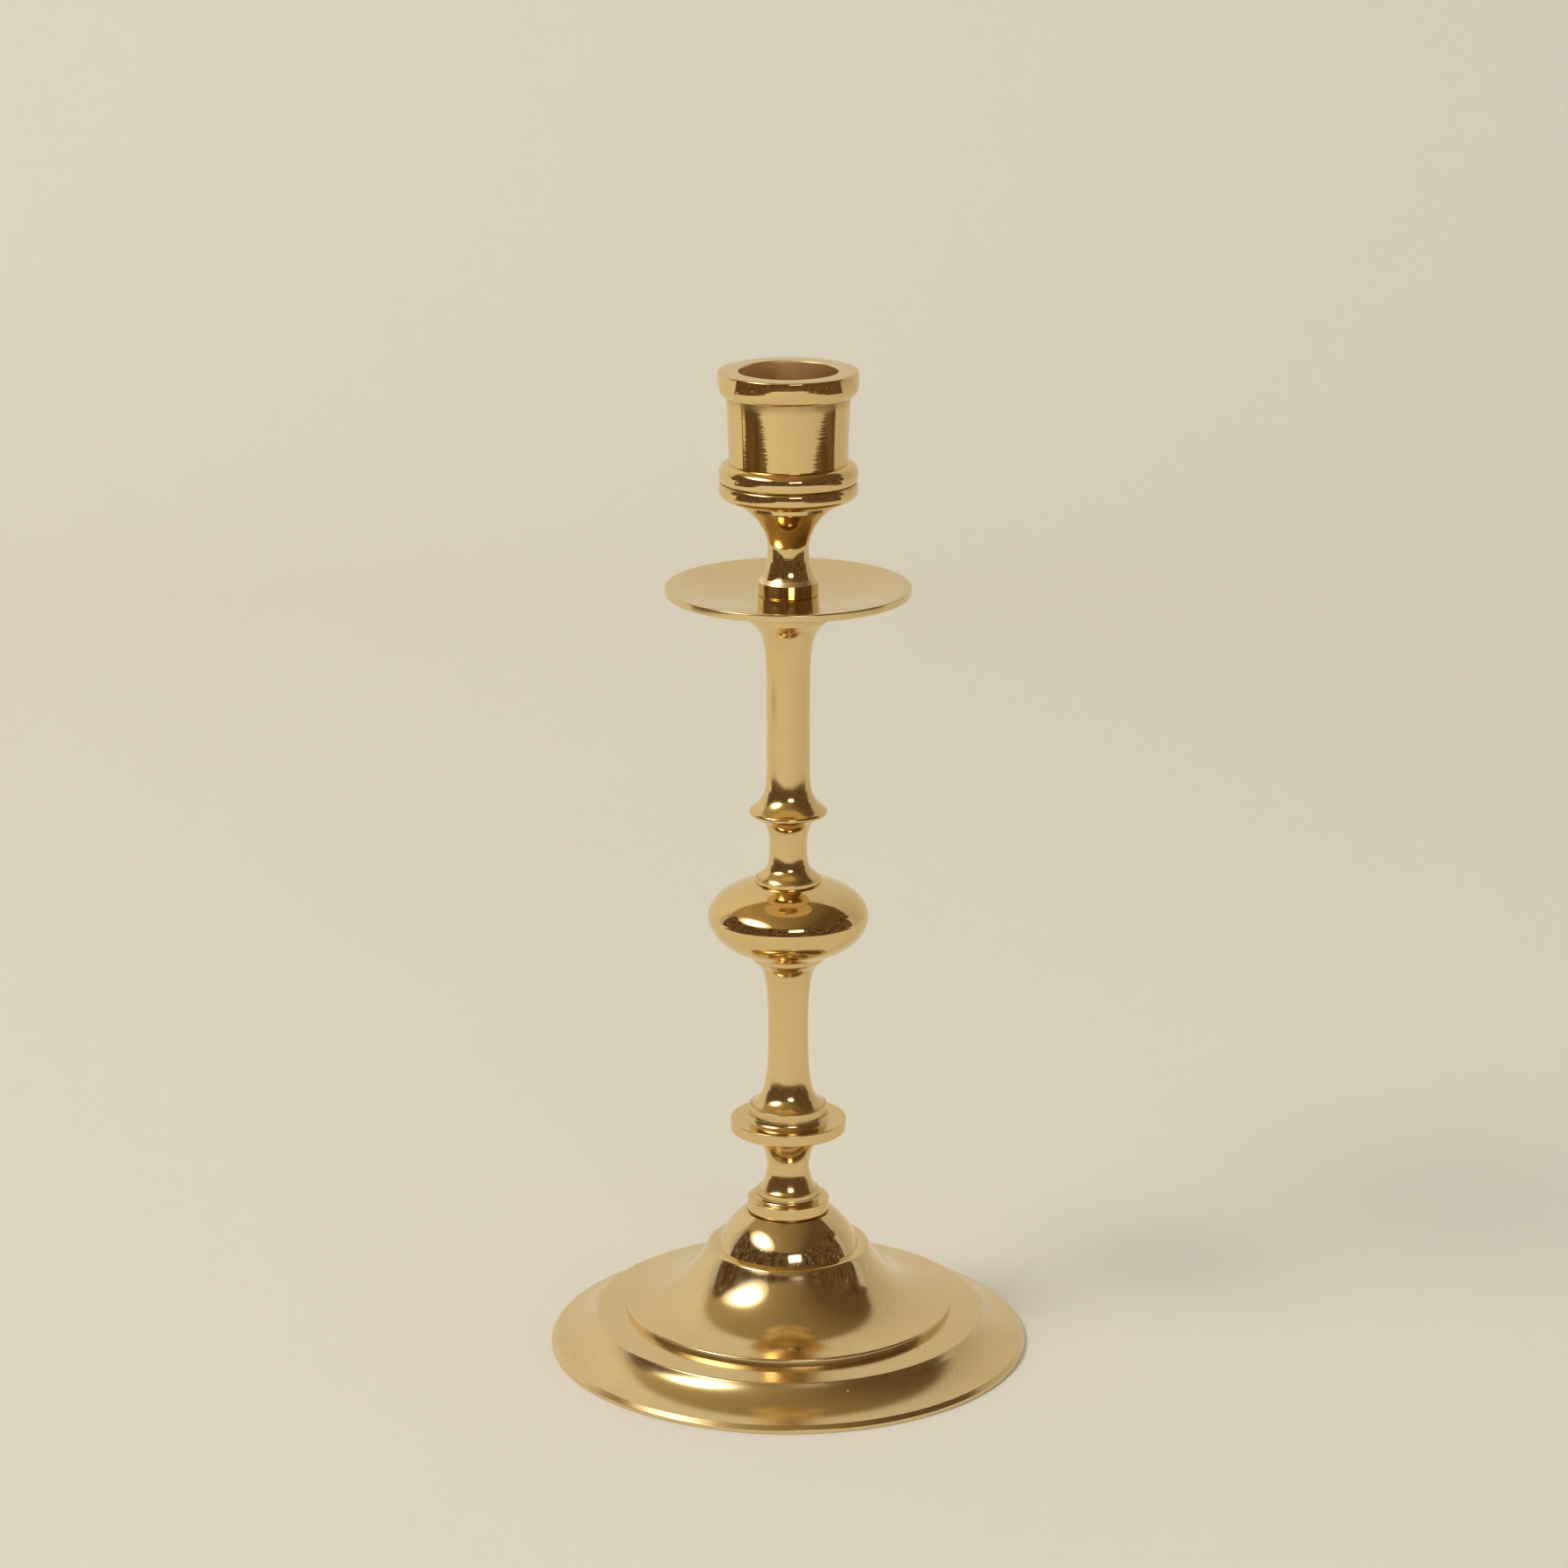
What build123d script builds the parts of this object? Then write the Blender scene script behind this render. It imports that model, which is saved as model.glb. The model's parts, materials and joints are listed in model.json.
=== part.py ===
"""Turned brass candlestick: a hollow base, two stems, a knop, a drip pan and a screw-on candle cup.

Frame: +Z up along the turning axis, origin at the centre of the plane that the base rests on.
All sizes are in millimetres.  Every outline is drawn as (radius, height) in the XZ plane and
turned about Z.  Outlines run from the foot of each piece up to its top.
"""
import os
from math import acos, cos, degrees, radians, sin, tan

from build123d import *

# ---------------------------------------- threads, fits and fasteners
stem_thread_r = 2.5          # M5 studs join the cup, the stems and the knop
base_thread_r = 3.0          # M6 stud holds the stem to the base
thread_clearance = 0.05      # radial, between a stud and a tapped hole
pass_clearance = 0.20        # radial, where a stud only passes through
hole_end_gap = 1.0           # each blind hole is drilled this much past the stud's end
stud_chamfer = 0.4
cup_thread_reach = 8.0       # stud engagement up into the cup and down into the upper stem
knop_thread_reach = 6.5      # stud engagement up into the upper stem and down into the lower one
base_thread_reach = 8.0      # stud engagement up into the lower stem

# ---------------------------------------- base
rim_r = 56.5
rim_height = 0.95            # upright edge of the rim
rim_bevel = 0.9              # sloping face above the rim's upright edge
rim_edge = 0.2
skirt_top_r = 45.9
skirt_height = 6.15
skirt_rim_reach = 5.5        # the skirt sweeps up in a cove, shallow at the rim and steep at the shelf
skirt_rim_angle = 12.0
skirt_shelf_reach = 2.8
skirt_shelf_angle = 64.0
shelf_rise = 0.9
shelf_edge = 0.6             # roundness where the skirt turns in to the shelf
step_r = 38.7
step_height = 1.8
step_edge = 0.5
flare_height = 14.05
flare_step_reach = 12.0
flare_step_angle = 6.0
flare_ledge_reach = 8.0
flare_ledge_angle = 62.0
ledge_r = 18.9
dome_r = 17.6                # radius of the dome's sphere
dome_foot_r = 16.6           # where the dome rises from the ledge
dome_seat_land = 1.1         # flat turned on top of the dome, beyond the stem's boss
ledge_edge = 0.8             # roundness of the ledge's lip
base_wall = 3.0
dome_wall = 4.0
rim_land = 3.0               # width of the flat ring that the base stands on
edge_share = 0.45            # an edge is rounded by at most this share of the wall beside it

# ---------------------------------------- washers and nut under the dome
washer_r = 9.0
washer_thickness = 1.6
spring_washer_r = 6.1
spring_washer_thickness = 1.6
spring_washer_slot = 0.9
spring_washer_skew = 25.0
nut_across_flats = 10.0
nut_height = 5.0
nut_chamfer = 0.6
stud_tail = 2.0              # thread showing below the nut

# ---------------------------------------- lower stem
collar_boss_r = 9.2
collar_gap = 0.25
collar_r = 9.64
collar_height = 3.0
collar_edge = 0.3
plinth_r = 7.34
plinth_cove_r = 7.7
cove_sagitta = 0.15
plinth_step = 0.2
plinth_angle = 8.0
plinth_cove_height = 1.1
plinth_height = 0.9
low_neck_r = 4.97
low_neck_height = 5.4
low_neck_reach = 1.6
plinth_reach = 0.9
disc_underside_r = 8.6
disc_neck_height = 9.7
disc_neck_reach = 5.2
disc_underside_reach = 1.3
disc_underside_angle = 58.0
disc_r = 13.63
disc_height = 2.75
disc_edge = 0.25
foot_cove_height = 1.2
foot_cove_r = 9.9
foot_r = 9.19
foot_height = 2.25
foot_edge = 0.25
foot_step = 0.35
low_waist_r = 4.7
low_waist_height = 18.7
low_waist_reach = 16.4
low_foot_reach = 3.4
low_foot_angle = 37.0
low_head_height = 17.45
low_head_waist_reach = 17.2
low_head_reach = 2.7
low_head_angle = 55.0
low_head_r = 8.55
low_band_height = 0.9

# ---------------------------------------- knop
knop_r = 18.75
knop_lower_height = 9.35
knop_upper_height = 8.4
knop_seat_inset = 0.05       # the flat under the knop stops this far inside the stem's head
knop_top_land = 0.05         # the flat on top of the knop runs this far past the shoe

# ---------------------------------------- upper stem
shoe_r = 7.65
shoe_height = 1.0
shoe_edge = 0.3
shoe_step = 0.4
shoe_reach = 2.7
shoe_angle = 58.0
high_neck_r = 4.37
high_neck_height = 7.45
high_neck_low_reach = 6.6
high_neck_high_reach = 4.0
ring_neck_height = 7.85
ring_underside_reach = 3.8
ring_underside_angle = 17.0
ring_r = 9.12
ring_height = 1.2
ring_bulge = 0.38            # the ring's edge is rounded by this
column_r = 5.0
column_low_height = 16.5
column_low_reach = 11.8
ring_reach = 5.3
ring_angle = 39.0
column_height = 10.7
column_high_height = 18.2
column_high_reach = 13.6
head_reach = 5.1
head_angle = 43.0
head_r = 9.45
head_band_height = 3.9
head_edge = 0.25

# ---------------------------------------- drip pan
pan_r = 28.25
pan_thickness = 1.8
pan_rise = 2.0               # the pan's edge stands this far above its centre
pan_seat_land = 0.35         # the pan's flat centre runs this far past the stem's head
pan_seat_reach = 3.0
pan_edge_reach = 9.0
pan_edge_angle = 8.0
pan_edge = 0.3

# ---------------------------------------- candle cup
cup_foot_r = 6.93
cup_foot_height = 3.1
cup_foot_edge = 0.3
cup_neck_r = 4.74
cup_neck_height = 7.55
cup_foot_reach = 1.6
cup_foot_angle = 50.0
cup_neck_low_reach = 4.2
cup_neck_high_reach = 5.7
cup_flare_height = 9.85
cup_flare_reach = 1.5
cup_flare_angle = 49.0
cup_under_height = 1.4
bead_reach = 2.25            # the beads stand this far out from the cup's body
bead_return = 4.15           # flat under the lower bead
bead_fillet_step = 1.5       # the narrow fillet under the beads is set in by this
bead_half_height = 2.4
bead_spacing = 4.2
bead_groove_depth = 0.9
bead_turn = 0.9              # roundness of the beads beside the groove
cup_wall = 2.33
cup_body_height = 15.4
cup_body_flare = 0.5         # the body is this much wider where it meets the rim
cup_rim_reach = 2.42         # the rim stands this far out from the cup's body
cup_rim_height = 5.6
cup_rim_round = 2.9          # the lower part of the rim's outer face curves in over this height
cup_rim_ledge = 0.3          # narrow flat where that curve meets the body
cup_rim_lean = 0.14          # the upper part leans in by this at the top
cup_rim_edge = 0.45
candle_bore_r = 11.37
candle_bore_depth = 24.0
candle_bore_lead = 0.4

# ---------------------------------------- heights that follow from the sizes
rim_top_z = rim_height + rim_bevel
rim_top_r = rim_r - rim_bevel
skirt_top_z = rim_top_z + skirt_height
shelf_inner_z = skirt_top_z + shelf_rise
step_top_z = shelf_inner_z + step_height
ledge_z = step_top_z + flare_height
dome_seat_r = collar_boss_r + dome_seat_land
dome_centre_z = ledge_z - (dome_r**2 - dome_foot_r**2) ** 0.5
dome_seat_z = dome_centre_z + (dome_r**2 - dome_seat_r**2) ** 0.5
dome_foot_angle = degrees(acos(dome_foot_r / dome_r))
dome_seat_angle = degrees(acos(dome_seat_r / dome_r))
dome_ceiling_z = dome_seat_z - dome_wall
inner_dome_r = dome_r - base_wall
ceiling_r = (inner_dome_r**2 - (dome_ceiling_z - dome_centre_z) ** 2) ** 0.5
ceiling_angle = degrees(acos(ceiling_r / inner_dome_r))
spring_washer_top_z = dome_ceiling_z - washer_thickness
nut_top_z = spring_washer_top_z - spring_washer_thickness
nut_z = nut_top_z - nut_height
nut_corner_r = nut_across_flats / 2 / cos(radians(30))

lower_stem_z = dome_seat_z
collar_z = lower_stem_z + collar_gap
plinth_cove_z = collar_z + collar_height
plinth_z = plinth_cove_z + plinth_cove_height
low_neck_base_z = plinth_z + plinth_height
neck_base_r = plinth_r - plinth_step
low_neck_z = low_neck_base_z + low_neck_height
disc_z = low_neck_z + disc_neck_height
disc_top_z = disc_z + disc_height
foot_z = disc_top_z + foot_cove_height
foot_top_z = foot_z + foot_height
waist_base_r = foot_r - foot_step
low_waist_z = foot_top_z + low_waist_height
low_band_z = low_waist_z + low_head_height
knop_z = low_band_z + low_band_height
knop_middle_z = knop_z + knop_lower_height
knop_seat_r = low_head_r - knop_seat_inset
knop_top_r = shoe_r + knop_top_land
knop_seat_angle = degrees(acos(knop_seat_r / knop_r))
knop_top_angle = degrees(acos(knop_top_r / knop_r))
knop_lower_axis = knop_lower_height / sin(radians(knop_seat_angle))
knop_upper_axis = knop_upper_height / sin(radians(knop_top_angle))
upper_stem_z = knop_middle_z + knop_upper_height
shoe_top_z = upper_stem_z + shoe_height
high_neck_z = shoe_top_z + high_neck_height
ring_z = high_neck_z + ring_neck_height
ring_top_z = ring_z + ring_height
ring_side_r = ring_r - ring_bulge
column_z = ring_top_z + column_low_height
column_top_z = column_z + column_height
head_z = column_top_z + column_high_height
pan_z = head_z + head_band_height
pan_seat_r = head_r + pan_seat_land
pan_edge_fall = pan_edge_reach * tan(radians(pan_edge_angle))
cup_z = pan_z + pan_thickness
cup_body_r = candle_bore_r + cup_wall
cup_rim_r = cup_body_r + cup_rim_reach
cup_body_end_r = cup_body_r + cup_body_flare
cup_rim_under_r = cup_body_end_r + cup_rim_ledge
cup_rim_end_r = cup_rim_r - cup_rim_lean
bead_r = cup_body_r + bead_reach
bead_groove_r = bead_r - bead_groove_depth
bead_under_r = bead_r - bead_return
cup_under_r = bead_under_r - bead_fillet_step
cup_foot_top_z = cup_z + cup_foot_height
cup_neck_z = cup_foot_top_z + cup_neck_height
cup_under_z = cup_neck_z + cup_flare_height
bead_z = cup_under_z + cup_under_height
low_bead_z = bead_z + bead_half_height
high_bead_z = low_bead_z + bead_spacing
groove_z = (low_bead_z + high_bead_z) / 2
cup_body_z = high_bead_z + bead_half_height
cup_rim_z = cup_body_z + cup_body_height
cup_top_z = cup_rim_z + cup_rim_height
cup_rim_widest_z = cup_rim_z + cup_rim_round


def flare(waist, end, waist_reach, end_reach, end_angle=0.0):
    """Draw a trumpet curve: upright at the waist, leaning end_angle at its wide end."""
    side = 1 if end[1] > waist[1] else -1
    waist_handle = (waist[0], waist[1] + side * waist_reach)
    end_handle = (
        end[0] - end_reach * cos(radians(end_angle)),
        end[1] - side * end_reach * sin(radians(end_angle)),
    )
    Bezier(waist, waist_handle, end_handle, end)


def ease(outline, edge, wall, *places):
    """Round the outline's corners at the given (radius, height) places, within the wall beside them."""
    corners = [outline.vertices().sort_by_distance(place)[0] for place in places]
    fillet(corners, min(edge, edge_share * wall))


def finish(piece, name):
    """Name the piece and write it to its own file."""
    piece.part.label = name
    export_step(piece.part, f"parts/{name}.step")


os.makedirs("parts", exist_ok=True)

# ---------------------------------------- base
# The outside, from the rim over the skirt, shelf, step and flare to the ledge and the dome.
with BuildPart() as base:
    with BuildSketch(Plane.XZ) as base_outline:
        with BuildLine():
            Polyline((0, dome_seat_z), (0, 0), (rim_r, 0), (rim_r, rim_height), (rim_top_r, rim_top_z))
            Bezier(
                (rim_top_r, rim_top_z),
                (
                    rim_top_r - skirt_rim_reach * cos(radians(skirt_rim_angle)),
                    rim_top_z + skirt_rim_reach * sin(radians(skirt_rim_angle)),
                ),
                (
                    skirt_top_r + skirt_shelf_reach * cos(radians(skirt_shelf_angle)),
                    skirt_top_z - skirt_shelf_reach * sin(radians(skirt_shelf_angle)),
                ),
                (skirt_top_r, skirt_top_z),
            )
            Polyline((skirt_top_r, skirt_top_z), (step_r, shelf_inner_z), (step_r, step_top_z))
            Bezier(
                (step_r, step_top_z),
                (
                    step_r - flare_step_reach * cos(radians(flare_step_angle)),
                    step_top_z + flare_step_reach * sin(radians(flare_step_angle)),
                ),
                (
                    ledge_r + flare_ledge_reach * cos(radians(flare_ledge_angle)),
                    ledge_z - flare_ledge_reach * sin(radians(flare_ledge_angle)),
                ),
                (ledge_r, ledge_z),
            )
            Line((ledge_r, ledge_z), (dome_foot_r, ledge_z))
            CenterArc((0, dome_centre_z), dome_r, dome_foot_angle, dome_seat_angle - dome_foot_angle)
            Line((dome_seat_r, dome_seat_z), (0, dome_seat_z))
        make_face()
        ease(base_outline, rim_edge, rim_height, (rim_r, 0), (rim_r, rim_height))
        ease(base_outline, shelf_edge, skirt_height, (skirt_top_r, skirt_top_z))
        ease(base_outline, step_edge, step_height, (step_r, step_top_z))
        ease(base_outline, ledge_edge, ledge_r - dome_foot_r, (ledge_r, ledge_z))
    revolve(axis=Axis.Z)
    # The hollow underneath, a casting of nearly even wall.
    with BuildSketch(Plane.XZ):
        with BuildLine():
            Polyline(
                (0, dome_ceiling_z),
                (0, 0),
                (rim_r - rim_land, 0),
                (skirt_top_r - base_wall / 2, skirt_top_z - base_wall),
                (step_r - base_wall, shelf_inner_z - base_wall),
            )
            Bezier(
                (step_r - base_wall, shelf_inner_z - base_wall),
                (
                    step_r - base_wall - flare_step_reach * cos(radians(flare_step_angle)),
                    shelf_inner_z - base_wall + flare_step_reach * sin(radians(flare_step_angle)),
                ),
                (inner_dome_r, dome_centre_z - flare_ledge_reach),
                (inner_dome_r, dome_centre_z),
            )
            CenterArc((0, dome_centre_z), inner_dome_r, 0, ceiling_angle)
            Line((ceiling_r, dome_ceiling_z), (0, dome_ceiling_z))
        make_face()
    revolve(axis=Axis.Z, mode=Mode.SUBTRACT)
    with BuildSketch(Plane.XY.offset(dome_ceiling_z)):
        Circle(base_thread_r + pass_clearance)
    extrude(amount=dome_wall, mode=Mode.SUBTRACT)
finish(base, "base")

# ---------------------------------------- washer, spring washer and nut under the dome
with BuildPart() as base_washer:
    with BuildSketch(Plane.XY.offset(spring_washer_top_z)):
        Circle(washer_r)
        Circle(base_thread_r + pass_clearance, mode=Mode.SUBTRACT)
    extrude(amount=washer_thickness)
finish(base_washer, "base_washer")

with BuildPart() as spring_washer:
    with BuildSketch(Plane.XY.offset(nut_top_z)):
        Circle(spring_washer_r)
        Circle(base_thread_r + pass_clearance, mode=Mode.SUBTRACT)
        with Locations((spring_washer_r, 0)):
            Rectangle(
                2 * spring_washer_r, spring_washer_slot, rotation=spring_washer_skew, mode=Mode.SUBTRACT
            )
    extrude(amount=spring_washer_thickness)
finish(spring_washer, "spring_washer")

with BuildPart() as base_nut:
    with BuildSketch(Plane.XY.offset(nut_z)):
        RegularPolygon(nut_across_flats / 2, side_count=6, major_radius=False)
        Circle(base_thread_r + thread_clearance, mode=Mode.SUBTRACT)
    extrude(amount=nut_height)
    # The corners are turned back at both ends, as on a bar-turned nut.
    with BuildSketch(Plane.XZ):
        with BuildLine():
            Polyline(
                (0, nut_z),
                (nut_across_flats / 2, nut_z),
                (nut_corner_r, nut_z + nut_chamfer),
                (nut_corner_r, nut_top_z - nut_chamfer),
                (nut_across_flats / 2, nut_top_z),
                (0, nut_top_z),
                close=True,
            )
        make_face()
    revolve(axis=Axis.Z, mode=Mode.INTERSECT)
finish(base_nut, "base_nut")

# ---------------------------------------- studs, plain rods of the thread's outer size
with BuildPart() as base_stud:
    with BuildSketch(Plane.XY.offset(nut_z - stud_tail)):
        Circle(base_thread_r)
    extrude(amount=lower_stem_z + base_thread_reach - (nut_z - stud_tail))
    chamfer(base_stud.edges().filter_by(GeomType.CIRCLE), stud_chamfer)
finish(base_stud, "base_stud")

with BuildPart() as knop_stud:
    with BuildSketch(Plane.XY.offset(knop_z - knop_thread_reach)):
        Circle(stem_thread_r)
    extrude(amount=upper_stem_z - knop_z + 2 * knop_thread_reach)
    chamfer(knop_stud.edges().filter_by(GeomType.CIRCLE), stud_chamfer)
finish(knop_stud, "knop_stud")

with BuildPart() as cup_stud:
    with BuildSketch(Plane.XY.offset(pan_z - cup_thread_reach)):
        Circle(stem_thread_r)
    extrude(amount=pan_thickness + 2 * cup_thread_reach)
    chamfer(cup_stud.edges().filter_by(GeomType.CIRCLE), stud_chamfer)
finish(cup_stud, "cup_stud")

# ---------------------------------------- lower stem
with BuildPart() as lower_stem:
    with BuildSketch(Plane.XZ) as lower_outline:
        with BuildLine():
            Polyline(
                (0, knop_z),
                (0, lower_stem_z),
                (collar_boss_r, lower_stem_z),
                (collar_boss_r, collar_z),
                (collar_r, collar_z),
                (collar_r, plinth_cove_z),
                (plinth_cove_r, plinth_cove_z),
            )
            SagittaArc((plinth_cove_r, plinth_cove_z), (plinth_r, plinth_z), cove_sagitta)
            Polyline((plinth_r, plinth_z), (plinth_r, low_neck_base_z), (neck_base_r, low_neck_base_z))
            flare(
                (low_neck_r, low_neck_z),
                (neck_base_r, low_neck_base_z),
                low_neck_reach,
                plinth_reach,
                plinth_angle,
            )
            flare(
                (low_neck_r, low_neck_z),
                (disc_underside_r, disc_z),
                disc_neck_reach,
                disc_underside_reach,
                disc_underside_angle,
            )
            Polyline(
                (disc_underside_r, disc_z), (disc_r, disc_z), (disc_r, disc_top_z), (foot_cove_r, disc_top_z)
            )
            SagittaArc((foot_cove_r, disc_top_z), (foot_r, foot_z), cove_sagitta)
            Polyline((foot_r, foot_z), (foot_r, foot_top_z), (waist_base_r, foot_top_z))
            flare(
                (low_waist_r, low_waist_z),
                (waist_base_r, foot_top_z),
                low_waist_reach,
                low_foot_reach,
                low_foot_angle,
            )
            flare(
                (low_waist_r, low_waist_z),
                (low_head_r, low_band_z),
                low_head_waist_reach,
                low_head_reach,
                low_head_angle,
            )
            Polyline((low_head_r, low_band_z), (low_head_r, knop_z), (0, knop_z))
        make_face()
        ease(lower_outline, collar_edge, collar_height, (collar_r, collar_z), (collar_r, plinth_cove_z))
        ease(lower_outline, disc_edge, disc_height, (disc_r, disc_z), (disc_r, disc_top_z))
        ease(lower_outline, foot_edge, foot_step, (foot_r, foot_top_z))
    revolve(axis=Axis.Z)
    with BuildSketch(Plane.XY.offset(lower_stem_z)):
        Circle(base_thread_r + thread_clearance)
    extrude(amount=base_thread_reach + hole_end_gap, mode=Mode.SUBTRACT)
    with BuildSketch(Plane.XY.offset(knop_z)):
        Circle(stem_thread_r + thread_clearance)
    extrude(amount=-(knop_thread_reach + hole_end_gap), mode=Mode.SUBTRACT)
finish(lower_stem, "lower_stem")

# ---------------------------------------- knop, a flattened ball
with BuildPart() as knop:
    with BuildSketch(Plane.XZ):
        with BuildLine():
            Polyline((knop_seat_r, knop_z), (0, knop_z), (0, upper_stem_z), (knop_top_r, upper_stem_z))
            EllipticalCenterArc(
                (0, knop_middle_z), knop_r, knop_lower_axis, -knop_seat_angle, arc_size=knop_seat_angle
            )
            EllipticalCenterArc((0, knop_middle_z), knop_r, knop_upper_axis, 0, arc_size=knop_top_angle)
        make_face()
    revolve(axis=Axis.Z)
    with BuildSketch(Plane.XY.offset(knop_z)):
        Circle(stem_thread_r + pass_clearance)
    extrude(amount=upper_stem_z - knop_z, mode=Mode.SUBTRACT)
finish(knop, "knop")

# ---------------------------------------- upper stem
with BuildPart() as upper_stem:
    with BuildSketch(Plane.XZ) as upper_outline:
        with BuildLine():
            Polyline(
                (0, pan_z),
                (0, upper_stem_z),
                (shoe_r, upper_stem_z),
                (shoe_r, shoe_top_z),
                (shoe_r - shoe_step, shoe_top_z),
            )
            flare(
                (high_neck_r, high_neck_z),
                (shoe_r - shoe_step, shoe_top_z),
                high_neck_low_reach,
                shoe_reach,
                shoe_angle,
            )
            flare(
                (high_neck_r, high_neck_z),
                (ring_side_r, ring_z),
                high_neck_high_reach,
                ring_underside_reach,
                ring_underside_angle,
            )
            SagittaArc((ring_side_r, ring_z), (ring_side_r, ring_top_z), -ring_bulge)
            flare(
                (column_r, column_z),
                (ring_side_r, ring_top_z),
                column_low_reach,
                ring_reach,
                ring_angle,
            )
            Line((column_r, column_z), (column_r, column_top_z))
            flare((column_r, column_top_z), (head_r, head_z), column_high_reach, head_reach, head_angle)
            Polyline((head_r, head_z), (head_r, pan_z), (0, pan_z))
        make_face()
        ease(upper_outline, shoe_edge, shoe_step, (shoe_r, shoe_top_z))
        ease(upper_outline, head_edge, head_band_height, (head_r, head_z))
    revolve(axis=Axis.Z)
    with BuildSketch(Plane.XY.offset(upper_stem_z)):
        Circle(stem_thread_r + thread_clearance)
    extrude(amount=knop_thread_reach + hole_end_gap, mode=Mode.SUBTRACT)
    with BuildSketch(Plane.XY.offset(pan_z)):
        Circle(stem_thread_r + thread_clearance)
    extrude(amount=-(cup_thread_reach + hole_end_gap), mode=Mode.SUBTRACT)
finish(upper_stem, "upper_stem")

# ---------------------------------------- drip pan, a shallow dish of even thickness
with BuildPart() as drip_pan:
    with BuildSketch(Plane.XZ) as pan_outline:
        with BuildLine():
            for level in (pan_z, cup_z):
                Bezier(
                    (pan_seat_r, level),
                    (pan_seat_r + pan_seat_reach, level),
                    (pan_r - pan_edge_reach, level + pan_rise - pan_edge_fall),
                    (pan_r, level + pan_rise),
                )
            Polyline((pan_seat_r, pan_z), (0, pan_z), (0, cup_z), (pan_seat_r, cup_z))
            Line((pan_r, pan_z + pan_rise), (pan_r, cup_z + pan_rise))
        make_face()
        ease(pan_outline, pan_edge, pan_thickness, (pan_r, pan_z + pan_rise), (pan_r, cup_z + pan_rise))
    revolve(axis=Axis.Z)
    with BuildSketch(Plane.XY.offset(pan_z)):
        Circle(stem_thread_r + pass_clearance)
    extrude(amount=pan_thickness, mode=Mode.SUBTRACT)
finish(drip_pan, "drip_pan")

# ---------------------------------------- candle cup
with BuildPart() as candle_cup:
    with BuildSketch(Plane.XZ) as cup_outline:
        with BuildLine():
            Polyline((0, cup_top_z), (0, cup_z), (cup_foot_r, cup_z), (cup_foot_r, cup_foot_top_z))
            flare(
                (cup_neck_r, cup_neck_z),
                (cup_foot_r, cup_foot_top_z),
                cup_neck_low_reach,
                cup_foot_reach,
                cup_foot_angle,
            )
            flare(
                (cup_neck_r, cup_neck_z),
                (cup_under_r, cup_under_z),
                cup_neck_high_reach,
                cup_flare_reach,
                cup_flare_angle,
            )
            # A narrow fillet, then a pair of beads with a groove between them.
            Polyline((cup_under_r, cup_under_z), (cup_under_r, bead_z), (bead_under_r, bead_z))
            EllipticalCenterArc(
                (bead_under_r, low_bead_z), bead_r - bead_under_r, bead_half_height, -90, arc_size=90
            )
            for crest_z in (low_bead_z, high_bead_z):
                Bezier(
                    (bead_r, crest_z),
                    (bead_r, crest_z + bead_turn * (1 if crest_z < groove_z else -1)),
                    (bead_groove_r + bead_turn, groove_z),
                    (bead_groove_r, groove_z),
                )
            EllipticalCenterArc(
                (cup_body_r, high_bead_z), bead_r - cup_body_r, bead_half_height, 0, arc_size=90
            )
            # The body stands upright on the beads and leans out more and more towards the rim.
            Bezier(
                (cup_body_r, cup_body_z),
                (cup_body_r, (cup_body_z + cup_rim_z) / 2),
                (cup_body_end_r, cup_rim_z),
            )
            Line((cup_body_end_r, cup_rim_z), (cup_rim_under_r, cup_rim_z))
            EllipticalCenterArc(
                (cup_rim_under_r, cup_rim_widest_z),
                cup_rim_r - cup_rim_under_r,
                cup_rim_round,
                -90,
                arc_size=90,
            )
            Bezier(
                (cup_rim_r, cup_rim_widest_z),
                (cup_rim_r, (cup_rim_widest_z + cup_top_z) / 2),
                (cup_rim_end_r, cup_top_z),
            )
            Line((cup_rim_end_r, cup_top_z), (0, cup_top_z))
        make_face()
        ease(cup_outline, cup_foot_edge, cup_foot_height, (cup_foot_r, cup_z))
        ease(cup_outline, cup_rim_edge, cup_rim_height - cup_rim_round, (cup_rim_end_r, cup_top_z))
    revolve(axis=Axis.Z)
    with BuildSketch(Plane.XY.offset(cup_z)):
        Circle(stem_thread_r + thread_clearance)
    extrude(amount=cup_thread_reach + hole_end_gap, mode=Mode.SUBTRACT)
    with BuildSketch(Plane.XY.offset(cup_top_z)):
        Circle(candle_bore_r)
    extrude(amount=-candle_bore_depth, mode=Mode.SUBTRACT)
    bore_mouth = candle_cup.edges().filter_by(GeomType.CIRCLE).group_by(Axis.Z)[-1].sort_by(SortBy.RADIUS)[0]
    fillet(bore_mouth, candle_bore_lead)
finish(candle_cup, "candle_cup")
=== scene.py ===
"""Turned brass candlestick: finely lathed pieces, threaded studs and polished-brass materials.

Every turned piece is turned again at high resolution from the outline of its CAD node, so places
and sizes come from the frame.  An outline lies in the half plane y = 0, x > 0, where a place, a
direction or a normal is (radius, height).  Lengths are in metres.
"""

import json
from math import asin, atan2, ceil, cos, hypot, pi, radians, sin, tan

import bpy
from mathutils import Matrix, Vector


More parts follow.
